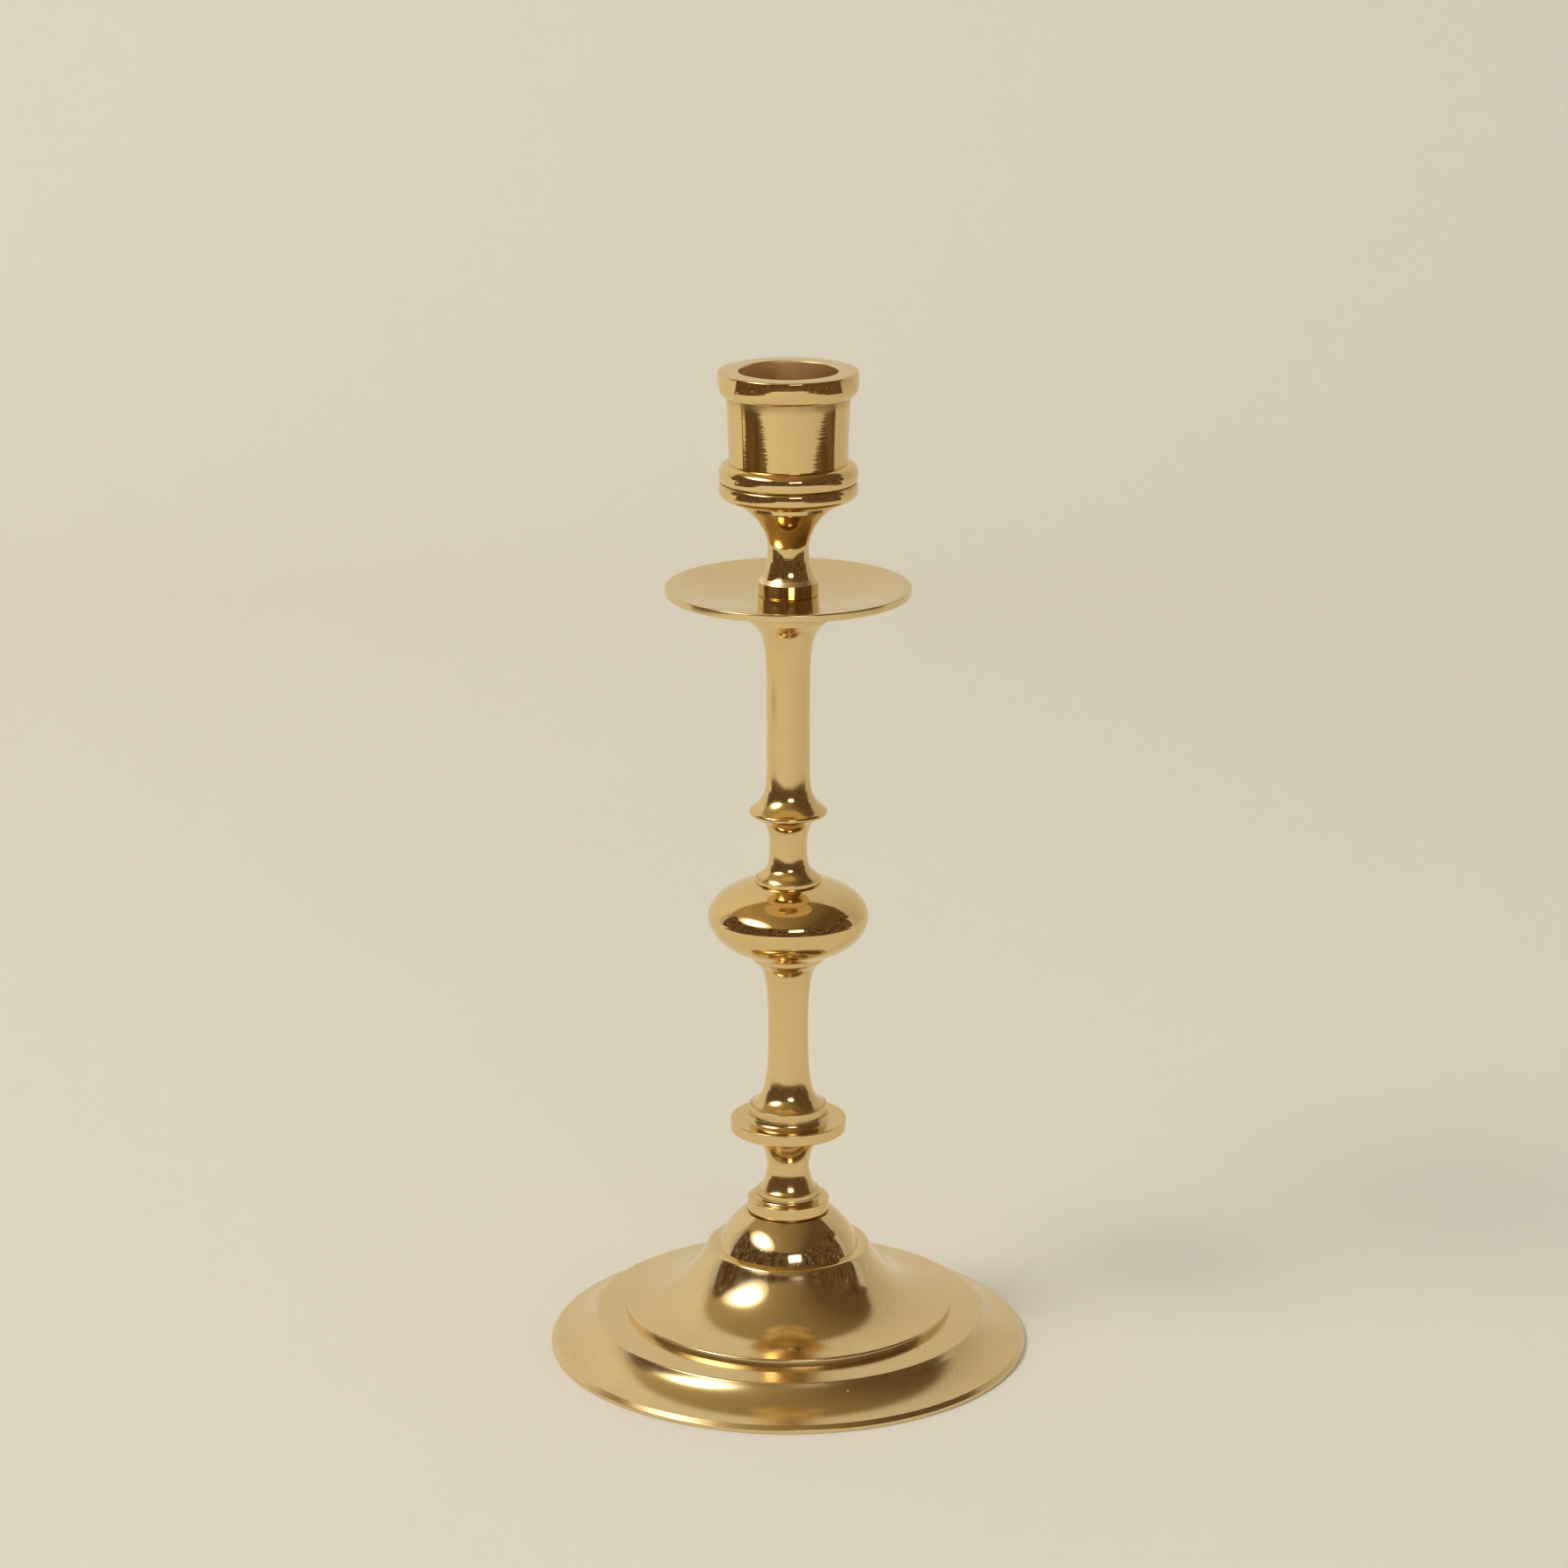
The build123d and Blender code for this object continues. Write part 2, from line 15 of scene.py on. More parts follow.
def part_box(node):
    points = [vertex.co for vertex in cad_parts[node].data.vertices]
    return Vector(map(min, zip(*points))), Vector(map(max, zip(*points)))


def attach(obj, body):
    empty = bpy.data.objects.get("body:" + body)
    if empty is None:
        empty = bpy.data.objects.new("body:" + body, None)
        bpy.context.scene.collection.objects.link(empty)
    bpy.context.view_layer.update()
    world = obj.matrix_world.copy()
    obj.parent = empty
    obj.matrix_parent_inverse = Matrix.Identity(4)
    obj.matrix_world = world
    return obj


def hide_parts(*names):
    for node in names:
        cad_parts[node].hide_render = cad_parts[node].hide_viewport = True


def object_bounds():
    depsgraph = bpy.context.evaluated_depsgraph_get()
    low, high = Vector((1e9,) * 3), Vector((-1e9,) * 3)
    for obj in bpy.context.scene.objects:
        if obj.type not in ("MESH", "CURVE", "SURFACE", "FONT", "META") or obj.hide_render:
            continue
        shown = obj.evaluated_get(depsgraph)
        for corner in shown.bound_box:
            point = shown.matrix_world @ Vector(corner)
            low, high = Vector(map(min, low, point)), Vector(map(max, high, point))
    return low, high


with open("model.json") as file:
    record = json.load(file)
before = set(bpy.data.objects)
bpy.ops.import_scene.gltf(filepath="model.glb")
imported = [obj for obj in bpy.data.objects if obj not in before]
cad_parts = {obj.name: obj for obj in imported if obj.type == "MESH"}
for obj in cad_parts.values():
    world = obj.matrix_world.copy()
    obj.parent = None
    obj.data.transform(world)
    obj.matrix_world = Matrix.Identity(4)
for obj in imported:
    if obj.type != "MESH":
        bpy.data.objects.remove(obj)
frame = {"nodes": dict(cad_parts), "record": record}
cad_low, cad_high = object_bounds()

MM = 0.001
SAME = 1e-6                  # outline places closer than this are one place

# ---------------------------------------------------------------- outlines
NEAR = 3 * SAME              # the mesh's rounding moves a place less than this
LEVEL_SLACK = 2              # loose ends whose heights differ by this many SAME are at one level
LEVEL_RISE = 0.05 * MM       # a step that rises less than this, with a normal above the next, is level
LEVEL_NORMAL = 0.5
TURN_STEP = radians(2.5)     # a curve is cut where its normal has turned this far
LONGEST_STEP = 3.0 * MM
CORNER = radians(24)         # a sharper turn than this is a corner
CORNER_ROUND = 0.10 * MM     # radius that polishing gives an outside corner
CORNER_ROOM = 0.4            # share of the shorter step beside it that a rounded corner may take
CORNER_STEPS = 5


def gap(a, b):
    return (b[0] - a[0], b[1] - a[1])


def shifted(place, direction, distance):
    return (place[0] + direction[0] * distance, place[1] + direction[1] * distance)


def partway(a, b, share):
    return (a[0] * (1 - share) + b[0] * share, a[1] * (1 - share) + b[1] * share)


def dot(a, b):
    return a[0] * b[0] + a[1] * b[1]


def cross(a, b):
    return a[0] * b[1] - a[1] * b[0]


def unit(vector):
    length = hypot(*vector) or 1.0
    return (vector[0] / length, vector[1] / length)


def near(a, b):
    return abs(a[0] - b[0]) < NEAR and abs(a[1] - b[1]) < NEAR


def on_grid(place):
    """A place in whole numbers of SAME, to find it by."""
    return (round(place[0] / SAME), round(place[1] / SAME))


def off_grid(key):
    return (key[0] * SAME, key[1] * SAME)


def seam_steps(node):
    """The straight steps of a turned node's outline, where its mesh crosses the half plane.

    Each step is [(start, normal), (end, normal)], with the CAD face's own normals.
    """
    mesh = frame["nodes"][node].data
    normals = mesh.corner_normals
    steps = {}
    for face in mesh.polygons:
        corners = []
        for loop in face.loop_indices:
            corners.append((mesh.vertices[mesh.loops[loop].vertex_index].co, normals[loop].vector))
        for (a, normal_a), (b, normal_b) in zip(corners, corners[1:] + corners[:1]):
            on_seam = abs(a.y) < SAME and abs(b.y) < SAME and a.x > -SAME and b.x > -SAME
            if not on_seam or (a - b).length < SAME:
                continue
            here = ((a.x, a.z), (normal_a.x, normal_a.z))
            there = ((b.x, b.z), (normal_b.x, normal_b.z))
            ends = sorted([here, there])
            steps.setdefault(tuple(on_grid(place) for place, _ in ends), ends)
    return list(steps.values())


def level_side(neighbour, corner):
    """+1 if the flat face that ends at this corner looks up, -1 if it looks down.

    neighbour is the step that meets the flat face there.
    """
    start, end = neighbour
    (here, normal), (there, _) = (start, end) if near(start[0], corner) else (end, start)
    rise = there[1] - here[1]
    if abs(normal[1]) > LEVEL_NORMAL and abs(rise) < LEVEL_RISE:
        return 1.0 if normal[1] > 0 else -1.0
    outward = 1.0 if normal[0] > 0 else -1.0
    return -outward if rise > 0 else outward


def chain(steps):
    """Puts loose steps head to tail, from the axis on where one reaches it."""
    rest = list(steps)
    first = next((step for step in rest if min(place[0] for place, _ in step) < SAME), rest[0])
    rest.remove(first)
    ordered = [first]
    while rest:
        tail = ordered[-1][1][0]
        found = next((step for step in rest if near(step[0][0], tail) or near(step[1][0], tail)), None)
        if found is None:
            raise ValueError(f"the outline breaks at radius {tail[0]:.5f}, height {tail[1]:.5f}")
        rest.remove(found)
        ordered.append(found if near(found[0][0], tail) else found[::-1])
    return ordered


def outline_of(node):
    """The node's whole outline, as steps in order."""
    steps = seam_steps(node)
    steps_at = {}
    for step in steps:
        for place, _ in step:
            steps_at.setdefault(on_grid(place), []).append(step)
    # Flat faces have no step on the seam: two loose ends at one height are joined by a level step,
    # and a loose end with no partner runs to the axis.
    levels = {}
    for key in sorted(key for key, found in steps_at.items() if len(found) == 1):
        level = next((level for level in levels if abs(level - key[1]) <= LEVEL_SLACK), key[1])
        levels.setdefault(level, []).append(key)
    for keys in levels.values():
        if len(keys) % 2:
            keys.insert(0, (0, keys[0][1]))
        for inner, outer in zip(keys[::2], keys[1::2]):
            normal = (0.0, level_side(steps_at[outer][0], off_grid(outer)))
            steps.append([(off_grid(inner), normal), (off_grid(outer), normal)])
    return chain(steps)


def curve_points(step):
    """(place, normal) along one step: a cubic that leaves and meets its ends square to their normals."""
    (start, normal_a), (end, normal_b) = step
    along = gap(start, end)
    length = hypot(*along)
    normal_a, normal_b = unit(normal_a), unit(normal_b)
    turn = abs(atan2(cross(normal_a, normal_b), dot(normal_a, normal_b)))
    count = max(1, ceil(turn / TURN_STEP), ceil(length / LONGEST_STEP))

    def tangent(normal):
        square = (normal[1], -normal[0])
        return square if dot(square, along) >= 0 else (-square[0], -square[1])

    reach = length / 3
    leaving, meeting = shifted(start, tangent(normal_a), reach), shifted(end, tangent(normal_b), -reach)
    points = []
    for number in range(count + 1):
        t = number / count
        weights = ((1 - t) ** 3, 3 * (1 - t) ** 2 * t, 3 * (1 - t) * t * t, t**3)
        controls = (start, leaving, meeting, end)
        place = tuple(sum(w * c[i] for w, c in zip(weights, controls)) for i in (0, 1))
        points.append((place, unit(partway(normal_a, normal_b, t))))
    return points


def round_corner(before, after):
    """Cuts a small arc into the corner between two runs, if it is an outside corner."""
    place, normal_a = before[-1]
    normal_b = after[0][1]
    arriving, leaving = gap(before[-2][0], place), gap(place, after[1][0])
    if dot(unit(arriving), normal_b) <= 0 or place[0] < SAME:
        return
    half = asin(min(1.0, hypot(*gap(normal_a, normal_b)) / 2))
    room = min(hypot(*arriving), hypot(*leaving))
    radius = min(CORNER_ROUND, CORNER_ROOM * room / tan(half))
    back = radius * tan(half)
    before[-1] = (shifted(place, unit(arriving), -back), normal_a)
    after[0] = (shifted(place, unit(leaving), back), normal_b)
    centre = shifted(before[-1][0], normal_a, -radius)
    for number in range(1, CORNER_STEPS):
        normal = unit(partway(normal_a, normal_b, number / CORNER_STEPS))
        before.append((shifted(centre, normal, radius), normal))
    before.append(after[0])


def smooth_runs(node):
    """The outline as runs of (place, normal) that are smooth within, with outside corners rounded."""
    runs = []
    for step in outline_of(node):
        points = curve_points(step)
        if runs and dot(runs[-1][-1][1], points[0][1]) > cos(CORNER):
            runs[-1] += points[1:]
        else:
            runs.append(points)
    for before, after in zip(runs, runs[1:]):
        round_corner(before, after)
    return runs


# ---------------------------------------------------------------- turning
INSIDE = 0.9996              # the fine mesh is this much slimmer, to stay within the CAD mesh's flats
SEGMENT = 0.75 * MM          # width of a facet round the widest place of a piece
FEWEST_SEGMENTS = 144
MOST_SEGMENTS = 360
GROOVE_REACH = 1.2 * MM      # a wall that faces another within this reach gets painted shade
GROOVE_GAIN = 2.0


def groove_shades(points):
    """For each outline point, how much of a groove it sits in, from 0 to 1: painted shade darkens the brass
    there.
    """
    shades = []
    for place, normal in points:
        shade = 0.0
        for other, _ in points:
            distance = hypot(*gap(place, other))
            if SAME < distance < GROOVE_REACH:
                ahead = dot(gap(place, other), normal) / distance
                shade = max(shade, ahead * (1 - distance / GROOVE_REACH))
        shades.append(min(1.0, shade * GROOVE_GAIN))
    return shades


def swung(radius, height, angle):
    """The point or the direction at this angle round the turning axis."""
    return (radius * cos(angle), radius * sin(angle), height)


def ring_corners(ring, place, normal, turn, beside):
    """Where a facet meets a ring of vertices, as (vertex, normal, turn): one point on the axis."""
    if place[0] < SAME:
        return [(ring, normal, turn)]
    return [(ring + turn, normal, turn), (ring + beside, normal, beside)]


def turned(node, materials, inside=None):
    """Turns the node's outline into a fine mesh that stands for it.

    inside(place, normal) picks the faces that take materials[1].
    """
    runs = smooth_runs(node)
    points = [point for run in runs for point in run]
    widest = max(place[0] for place, _ in points)
    segments = int(min(MOST_SEGMENTS, max(FEWEST_SEGMENTS, 2 * pi * widest / SEGMENT)))
    segments += segments % 2
    # Each vertex keeps its groove value as a mesh attribute: painted shade that the brass materials darken
    # their colour with.
    vertices, painted_groove_shade, ring_at = [], [], {}
    for (place, _), shade in zip(points, groove_shades(points)):
        if on_grid(place) in ring_at:
            continue
        ring_at[on_grid(place)] = len(vertices)
        turns = range(1 if place[0] < SAME else segments)
        vertices += [swung(place[0] * INSIDE, place[1], 2 * pi * turn / segments) for turn in turns]
        painted_groove_shade += [shade] * len(turns)
    faces, face_normals, face_slots = [], [], []
    for run in runs:
        for (place_a, normal_a), (place_b, normal_b) in zip(run, run[1:]):
            first, second = ring_at[on_grid(place_a)], ring_at[on_grid(place_b)]
            if first == second:
                continue
            mean = unit(partway(normal_a, normal_b, 0.5))
            forward = cross(mean, gap(place_a, place_b)) > 0
            slot = 1 if inside and inside(partway(place_a, place_b, 0.5), mean) else 0
            for turn in range(segments):
                beside = (turn + 1) % segments
                corners = ring_corners(first, place_a, normal_a, turn, beside)
                corners += reversed(ring_corners(second, place_b, normal_b, turn, beside))
                if not forward:
                    corners.reverse()
                for _, normal, number in corners:
                    face_normals.append(swung(*normal, 2 * pi * number / segments))
                faces.append([vertex for vertex, _, _ in corners])
                face_slots.append(slot)
    mesh = bpy.data.meshes.new(node + "_turned")
    mesh.from_pydata(vertices, [], faces)
    mesh.polygons.foreach_set("use_smooth", [True] * len(faces))
    mesh.polygons.foreach_set("material_index", face_slots)
    mesh.attributes.new("painted_groove_shade", "FLOAT", "POINT").data.foreach_set("value", painted_groove_shade)
    mesh.normals_split_custom_set(face_normals)
    stand_in(node, mesh, materials)


def stand_in(node, mesh, materials):
    """Adds a mesh as the piece that stands for a CAD node, with its body from the record and the given
    materials.
    """
    piece = bpy.data.objects.new(node + "_fine", mesh)
    bpy.context.scene.collection.objects.link(piece)
    for material in materials:
        mesh.materials.append(material)
    record = frame["record"]
    body = next(name for name, nodes in record["behaviour"]["bodies"].items() if node in nodes)
    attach(piece, body)
    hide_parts(node)


# ---------------------------------------------------------------- threaded studs
THREAD_AROUND = 56           # facets round a stud
THREAD_ROWS = 10             # rows to each turn of the thread
THREAD_DEPTH = 0.61          # share of the pitch
THREAD_FLAT = 0.125          # flat crest, as a share of the pitch
THREAD_SHARP = radians(35)   # the crest's edges turn more than this


def thread_radius(phase, crest, depth):
    """Radius on a rolled 60 degree thread, where phase runs from 0 to 1 over one pitch."""
    from_crest = abs(phase - 0.5) * 2
    fall = max(0.0, (from_crest - THREAD_FLAT) / (1 - 2 * THREAD_FLAT))
    return crest - depth * min(1.0, fall)


def threaded_stud(node, pitch, material):
    """A stud with a helical thread and pointed ends, inside its CAD node's box."""
    low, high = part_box(node)
    crest = high.x
    depth = THREAD_DEPTH * pitch
    rows = int((high.z - low.z) / pitch * THREAD_ROWS)
    vertices = []
    for row in range(rows + 1):
        height = low.z + (high.z - low.z) * row / rows
        point = crest - depth + min(height - low.z, high.z - height)
        for turn in range(THREAD_AROUND):
            share = turn / THREAD_AROUND
            radius = min(point, thread_radius((height / pitch - share) % 1.0, crest, depth))
            vertices.append(swung(radius, height, 2 * pi * share))
    faces = []
    for row in range(rows):
        here, above = row * THREAD_AROUND, (row + 1) * THREAD_AROUND
        for turn in range(THREAD_AROUND):
            beside = (turn + 1) % THREAD_AROUND
            faces.append((here + turn, here + beside, above + beside, above + turn))
    for ring, height in ((0, low.z), (rows * THREAD_AROUND, high.z)):
        middle = len(vertices)
        vertices.append((0, 0, height))
        for turn in range(THREAD_AROUND):
            pair = (ring + turn, ring + (turn + 1) % THREAD_AROUND)
            faces.append((*pair, middle) if ring else (*pair[::-1], middle))
    mesh = bpy.data.meshes.new(node + "_thread")
    mesh.from_pydata(vertices, [], faces)
    mesh.polygons.foreach_set("use_smooth", [True] * len(faces))
    mesh.set_sharp_from_angle(angle=THREAD_SHARP)
    stand_in(node, mesh, [material])


# ---------------------------------------------------------------- materials
class Nodes:
    """A small helper that adds shader nodes and links them. place is the point in the object's frame."""

    def __init__(self, name):
        self.material = bpy.data.materials.new(name)
        self.material.use_nodes = True
        self.tree = self.material.node_tree
        self.shader = self.tree.nodes["Principled BSDF"]
        self.place = self.add("ShaderNodeTexCoord").outputs["Object"]

    def add(self, kind, inputs=(), **settings):
        node = self.tree.nodes.new(kind)
        for key, value in settings.items():
            setattr(node, key, value)
        for key, value in dict(inputs).items():
            if isinstance(value, bpy.types.NodeSocket):
                self.tree.links.new(value, node.inputs[key])
            else:
                node.inputs[key].default_value = value
        return node

    def math(self, operation, a, b=0.0, clamp=False):
        return self.add("ShaderNodeMath", {0: a, 1: b}, operation=operation, use_clamp=clamp).outputs[0]

    def noise(self, vector, scale, detail, roughness):
        inputs = {"Vector": vector, "Scale": scale, "Detail": detail, "Roughness": roughness}
        return self.add("ShaderNodeTexNoise", inputs).outputs["Fac"]

    def cells(self, scale):
        return self.add("ShaderNodeTexVoronoi", {"Vector": self.place, "Scale": scale})

    def ramp(self, value, low, high, to_low=0.0, to_high=1.0):
        inputs = {"Value": value, "From Min": low, "From Max": high, "To Min": to_low, "To Max": to_high}
        return self.add("ShaderNodeMapRange", inputs, clamp=True).outputs[0]

    def mix(self, factor, a, b):
        a, b = (end if isinstance(end, bpy.types.NodeSocket) else (*end, 1.0) for end in (a, b))
        return self.add("ShaderNodeMix", {0: factor, 6: a, 7: b}, data_type="RGBA").outputs[2]

    def bump(self, height, distance, normal=None):
        inputs = {"Height": height, "Distance": distance}
        if normal is not None:
            inputs["Normal"] = normal
        return self.add("ShaderNodeBump", inputs).outputs[0]

    def polar(self):
        """(radius, height, angle) sockets about the turning axis."""
        x, y, z = self.add("ShaderNodeSeparateXYZ", {0: self.place}).outputs
        flat = self.add("ShaderNodeCombineXYZ", {0: x, 1: y}).outputs[0]
        radius = self.add("ShaderNodeVectorMath", {0: flat}, operation="LENGTH").outputs["Value"]
        return radius, z, self.math("ARCTAN2", y, x)

    def lathe_path(self, spin):
        """The tool's path: rings that hardly change round the piece. spin is how fast they do."""
        radius, height, angle = self.polar()
        inputs = {0: radius, 1: height, 2: self.math("MULTIPLY", angle, spin)}
        return self.add("ShaderNodeCombineXYZ", inputs).outputs[0]

    def link(self, output, name):
        self.tree.links.new(output, self.shader.inputs[name])

    def metallic(self):
        self.shader.inputs["Metallic"].default_value = 1.0

    def surface(self, node):
        self.tree.links.new(node.outputs[0], self.tree.nodes["Material Output"].inputs["Surface"])


BRASS = (0.81, 0.645, 0.36)
BRASS_RICH = (0.82, 0.615, 0.30)
BRASS_WARM = (0.74, 0.53, 0.245)
BRASS_DULL = (0.56, 0.43, 0.25)
BRASS_DARK = (0.20, 0.115, 0.045)
DUST = (0.95, 0.90, 0.78)
CAST_BROWN = (0.36, 0.24, 0.105)
CAST_YELLOW = (0.55, 0.39, 0.18)
CAST_SAND = (0.12, 0.08, 0.045)
BORE_BRIGHT = (1.0, 0.82, 0.54)
BORE_WAX = (0.92, 0.68, 0.42)
ZINC = (0.62, 0.60, 0.55)
ZINC_BLOOM = (0.48, 0.44, 0.36)
ZINC_SCUFF = (0.24, 0.20, 0.16)

# Texture scales, in features to the metre.
LINES, WAVES, GRAIN = 5200.0, 1800.0, 6500.0
SMEARS, CLOUDS = 62.0, 19.0
PITS, MOTES = 330.0, 210.0
CAST_PATCHES, CAST_GRAINS, CAST_LINES = 240.0, 2600.0, 1900.0
BORE_LINES, BORE_STAINS = 2600.0, 120.0
ZINC_PATCHES, ZINC_SCRATCHES = 420.0, 3200.0

POLISH_SPIN = 0.0006         # how fast a fine tool's rings change round the piece
COARSE_SPIN = 0.002

# Bump heights.
LINE_DEPTH = 0.00035 * MM
PIT_DEPTH = 0.01 * MM
SAND_DEPTH, CAST_LINE_DEPTH = 0.05 * MM, 0.02 * MM
BORE_LINE_DEPTH = 0.004 * MM
SCUFF_DEPTH = 0.008 * MM


def brass(name, rough, smear, ripple=0.0, grain=0.0, tint=BRASS, specks=0.35, satin=None, dust=0.0):
    """Polished turned brass: lathe ripple, fine turning lines, smears, painted shade in the grooves and
    tiny pits.

    ripple and grain are heights in millimetres, rough and smear the least and the added roughness.
    satin is (low, high, roughness): that much more roughness below low, fading out at high, in millimetres.
    specks and dust are how strongly pits and pale motes show.
    """
    n = Nodes(name)
    path = n.lathe_path(POLISH_SPIN)
    lines = n.noise(path, LINES, detail=3.0, roughness=0.6)
    smears = n.noise(n.place, SMEARS, detail=4.0, roughness=0.6)
    clouds = n.noise(n.place, CLOUDS, detail=3.0, roughness=0.5)
    speck = n.ramp(n.cells(PITS).outputs["Distance"], 0.045, 0.075, specks, 0.0)
    # Painted shade: the mesh's groove value, mottled by the smears, darkens the colour and also roughens
    # the brass.
    painted_shade = n.add("ShaderNodeAttribute", attribute_name="painted_groove_shade", attribute_type="GEOMETRY").outputs["Fac"]
    painted_shade = n.math("MULTIPLY", painted_shade, n.ramp(smears, 0.3, 0.7, 0.35, 1.0), clamp=True)
    # Colour: clean brass, a little warmer in clouds, dull in smears, darkened by painted shade in grooves,
    # dark in pits.
    colour = n.mix(n.ramp(clouds, 0.35, 0.75, 0.0, 0.25), tint, BRASS_WARM)
    colour = n.mix(n.math("MULTIPLY", n.ramp(smears, 0.5, 0.8), 0.14), colour, BRASS_DULL)
    colour = n.mix(n.math("MULTIPLY", painted_shade, 0.55), colour, BRASS_DARK)
    colour = n.mix(speck, colour, BRASS_DARK)
    if dust:
        motes = n.cells(MOTES)
        lone = n.ramp(n.add("ShaderNodeSeparateColor", {0: motes.outputs["Color"]}).outputs[0], 0.85, 0.87)
        mote = n.math("MULTIPLY", n.ramp(motes.outputs["Distance"], 0.04, 0.06, dust, 0.0), lone)
        colour = n.mix(mote, colour, DUST)
        n.link(n.math("SUBTRACT", 1.0, mote), "Metallic")
    else:
        n.metallic()
    n.link(colour, "Base Color")
    # Roughness: turning lines, smears and grain over a mirror.
    rougher = n.ramp(smears, 0.35, 0.75, rough, rough + smear)
    rougher = n.math("ADD", rougher, n.ramp(lines, 0.4, 0.8, 0.0, 0.035))
    rougher = n.math("ADD", rougher, n.math("MULTIPLY", painted_shade, 0.25))
    if satin:
        low, high, added = satin
        height = n.polar()[1]
        rougher = n.math("ADD", rougher, n.ramp(height, low * MM, high * MM, added, 0.0))
    n.link(n.math("ADD", rougher, n.math("MULTIPLY", speck, 0.4), clamp=True), "Roughness")
    # Surface: the lathe's lines, its ripple, grain and pits.
    surface = n.bump(lines, LINE_DEPTH)
    if ripple:
        surface = n.bump(n.noise(path, WAVES, detail=1.0, roughness=0.4), ripple * MM, surface)
    if grain:
        surface = n.bump(n.noise(n.place, GRAIN, detail=2.0, roughness=0.6), grain * MM, surface)
    n.link(n.bump(n.math("SUBTRACT", 1.0, speck), PIT_DEPTH, surface), "Normal")
    return n.material


def cast_brass():
    """Unpolished casting: dull and sandy, with the marks of a rough cut."""
    n = Nodes("cast_brass")
    patches = n.noise(n.place, CAST_PATCHES, detail=5.0, roughness=0.65)
    sand = n.noise(n.place, CAST_GRAINS, detail=3.0, roughness=0.7)
    lines = n.noise(n.lathe_path(COARSE_SPIN), CAST_LINES, detail=2.0, roughness=0.5)
    colour = n.mix(n.ramp(patches, 0.3, 0.7), CAST_BROWN, CAST_YELLOW)
    n.link(n.mix(n.ramp(sand, 0.55, 0.8, 0.0, 0.5), colour, CAST_SAND), "Base Color")
    n.link(n.ramp(patches, 0.3, 0.75, 0.38, 0.62), "Roughness")
    n.link(n.bump(lines, CAST_LINE_DEPTH, n.bump(sand, SAND_DEPTH)), "Normal")
    n.metallic()
    return n.material


def bore_brass():
    """The cup's bore: bright where the drill rubbed, browner with old wax."""
    n = Nodes("bore_brass")
    lines = n.noise(n.lathe_path(COARSE_SPIN), BORE_LINES, detail=3.0, roughness=0.6)
    stains = n.noise(n.place, BORE_STAINS, detail=4.0, roughness=0.6)
    n.link(n.mix(n.ramp(stains, 0.35, 0.7, 0.1, 0.6), BORE_BRIGHT, BORE_WAX), "Base Color")
    rough = n.math("ADD", n.ramp(stains, 0.35, 0.7, 0.24, 0.40), n.ramp(lines, 0.4, 0.8, 0.0, 0.08))
    n.link(rough, "Roughness")
    n.link(n.bump(lines, BORE_LINE_DEPTH), "Normal")
    n.metallic()
    return n.material


def plated_steel():
    """Zinc-plated hardware: grey with a yellowish bloom, scuffed."""
    n = Nodes("plated_steel")
    patches = n.noise(n.place, ZINC_PATCHES, detail=4.0, roughness=0.6)
    scuffs = n.noise(n.place, ZINC_SCRATCHES, detail=2.0, roughness=0.6)
    colour = n.mix(n.ramp(patches, 0.35, 0.7), ZINC, ZINC_BLOOM)
    n.link(n.mix(n.ramp(scuffs, 0.6, 0.8, 0.0, 0.35), colour, ZINC_SCUFF), "Base Color")
    n.link(n.ramp(patches, 0.3, 0.7, 0.24, 0.42), "Roughness")
    n.link(n.bump(scuffs, SCUFF_DEPTH), "Normal")
    n.metallic()
    return n.material


# ---------------------------------------------------------------- the candlestick
LAND = 0.4 * MM              # the turned ring that the base stands on lies below this height
BARELY_INWARD, INWARD, DOWNWARD, UPWARD = -0.05, -0.3, -0.3, 0.5     # shares of a face's normal
STUD_PITCHES = {"base_stud": 1.0 * MM, "knop_stud": 0.8 * MM, "cup_stud": 0.8 * MM}

bore = next(mount for mount in frame["record"]["mounts"] if mount["name"] == "candle_bore")
bore_floor_r = 0.999 * bore["dims"]["r_mm"] * MM


def under_base(place, normal):
    """True in the hollow of the base, which is left as cast: above the ring, and looking in or down."""
    return place[1] > LAND and (normal[0] < BARELY_INWARD or normal[1] < DOWNWARD)


def in_bore(place, normal):
    """True on the candle bore's wall, which looks in, and on its floor, which looks up."""
    return normal[0] < INWARD or place[0] < bore_floor_r and normal[1] > UPWARD


base_brass = brass("base_brass", 0.06, 0.05, grain=0.0006, specks=0.6, satin=(10.0, 26.0, 0.09), dust=0.9)
stem_brass = brass("stem_brass", 0.10, 0.07, ripple=0.0014, tint=BRASS_RICH)
knop_brass = brass("knop_brass", 0.045, 0.05, tint=BRASS_RICH)
pan_brass = brass("pan_brass", 0.11, 0.06, ripple=0.0004)
cup_brass = brass("cup_brass", 0.045, 0.05, ripple=0.009, tint=BRASS_RICH)
steel = plated_steel()

turned("base", [base_brass, cast_brass()], under_base)
turned("lower_stem", [stem_brass])
turned("knop", [knop_brass])
turned("upper_stem", [stem_brass])
turned("drip_pan", [pan_brass])
turned("candle_cup", [cup_brass, bore_brass()], in_bore)
for stud, pitch in STUD_PITCHES.items():
    threaded_stud(stud, pitch, steel)
for fastener in ("base_washer", "spring_washer", "base_nut"):
    fastener_mesh = frame["nodes"][fastener].data
    fastener_mesh.materials.clear()
    fastener_mesh.materials.append(steel)

# ---------------------------------------------------------------- studio
FLOOR = (0.80, 0.76, 0.665)
FLOOR_FRONT = -4.0
BACKDROP_Y, BACKDROP_HEIGHT, BACKDROP_HALF = 1.25, 2.3, 3.2
SWEEP_RADIUS, SWEEP_STEPS = 0.5, 24
UNDER_BASE_R = 53.0 * MM
